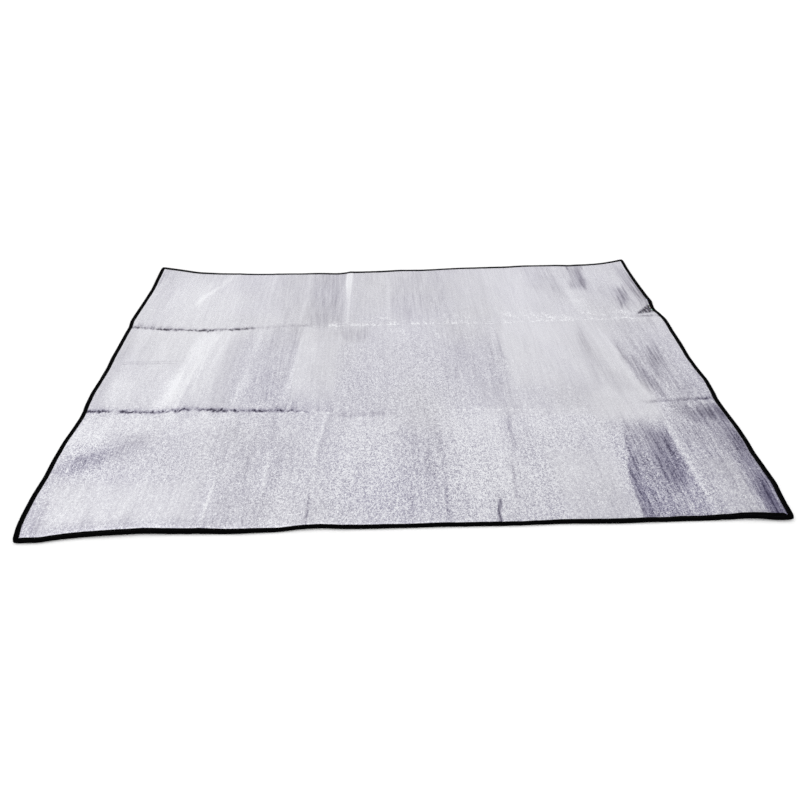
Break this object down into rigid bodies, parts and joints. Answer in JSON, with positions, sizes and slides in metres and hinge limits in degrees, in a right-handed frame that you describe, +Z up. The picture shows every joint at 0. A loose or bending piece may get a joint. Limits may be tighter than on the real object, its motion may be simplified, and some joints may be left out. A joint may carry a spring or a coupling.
{
  "type": "folding foam sleeping pad",
  "caption": "Thin folding foam sleeping pad with embossed silver film on both faces and a black sewn edge binding, hinged along its long folds and cross folds.",
  "frame": {"origin": "centre of the open pad on its ground face", "axes": "+X along the long side, +Y from the front long edge to the back one, +Z up out of the top face"},
  "size_m": [2, 1.5, 0.0025],
  "materials": {
    "foil_film": "satin",
    "foam": "matte",
    "binding_tape": "matte",
    "thread": "satin"
  },
  "bodies": {
    "front_left": {"foam_core_front_left": "foam", "top_film_front_left": "foil_film", "bottom_film_front_left": "foil_film", "binding_front_left": "binding_tape", "stitching_front_left": "thread", "binding_left_front": "binding_tape", "stitching_left_front": "thread"},
    "front_centre": {"foam_core_front_centre": "foam", "top_film_front_centre": "foil_film", "bottom_film_front_centre": "foil_film", "binding_front_centre": "binding_tape", "stitching_front_centre": "thread"},
    "front_right": {"foam_core_front_right": "foam", "top_film_front_right": "foil_film", "bottom_film_front_right": "foil_film", "binding_front_right": "binding_tape", "stitching_front_right": "thread", "binding_right_front": "binding_tape", "stitching_right_front": "thread"},
    "middle_left": {"foam_core_middle_left": "foam", "top_film_middle_left": "foil_film", "bottom_film_middle_left": "foil_film", "binding_left_middle": "binding_tape", "stitching_left_middle": "thread"},
    "middle_centre": {"foam_core_middle_centre": "foam", "top_film_middle_centre": "foil_film", "bottom_film_middle_centre": "foil_film"},
    "middle_right": {"foam_core_middle_right": "foam", "top_film_middle_right": "foil_film", "bottom_film_middle_right": "foil_film", "binding_right_middle": "binding_tape", "stitching_right_middle": "thread"},
    "back_left": {"foam_core_back_left": "foam", "top_film_back_left": "foil_film", "bottom_film_back_left": "foil_film", "binding_back_left": "binding_tape", "stitching_back_left": "thread", "binding_left_back": "binding_tape", "stitching_left_back": "thread"},
    "back_centre": {"foam_core_back_centre": "foam", "top_film_back_centre": "foil_film", "bottom_film_back_centre": "foil_film", "binding_back_centre": "binding_tape", "stitching_back_centre": "thread"},
    "back_right": {"foam_core_back_right": "foam", "top_film_back_right": "foil_film", "bottom_film_back_right": "foil_film", "binding_back_right": "binding_tape", "stitching_back_right": "thread", "binding_right_back": "binding_tape", "stitching_right_back": "thread"}
  },
  "joints": [
    {"name": "front_fold", "type": "hinge", "parent": "middle_centre", "child": "front_centre", "pos_m": [0, -0.257, 0.004], "axis": [-1, 0, 0], "range_deg": [0, 179.9]},
    {"name": "front_fold_left", "type": "hinge", "parent": "middle_left", "child": "front_left", "pos_m": [-0.6775, -0.257, 0.004], "axis": [-1, 0, 0], "range_deg": [0, 179.9]},
    {"name": "front_fold_right", "type": "hinge", "parent": "middle_right", "child": "front_right", "pos_m": [0.6775, -0.257, 0.004], "axis": [-1, 0, 0], "range_deg": [0, 179.9]},
    {"name": "back_fold", "type": "hinge", "parent": "middle_centre", "child": "back_centre", "pos_m": [0, 0.257, 0.00675], "axis": [1, 0, 0], "range_deg": [0, 179.9]},
    {"name": "back_fold_left", "type": "hinge", "parent": "middle_left", "child": "back_left", "pos_m": [-0.6775, 0.257, 0.00675], "axis": [1, 0, 0], "range_deg": [0, 179.9]},
    {"name": "back_fold_right", "type": "hinge", "parent": "middle_right", "child": "back_right", "pos_m": [0.6775, 0.257, 0.00675], "axis": [1, 0, 0], "range_deg": [0, 179.9]},
    {"name": "left_fold", "type": "hinge", "parent": "middle_centre", "child": "middle_left", "pos_m": [-0.355, 0, 0.015], "axis": [0, 1, 0], "range_deg": [0, 179.9]},
    {"name": "right_fold", "type": "hinge", "parent": "middle_centre", "child": "middle_right", "pos_m": [0.355, 0, 0.02325], "axis": [0, -1, 0], "range_deg": [0, 179.9]}
  ],
  "couplings": [
    {"joint": "front_fold_left", "follows": "front_fold", "ratio": 1},
    {"joint": "front_fold_right", "follows": "front_fold", "ratio": 1},
    {"joint": "back_fold_left", "follows": "back_fold", "ratio": 1},
    {"joint": "back_fold_right", "follows": "back_fold", "ratio": 1}
  ]
}
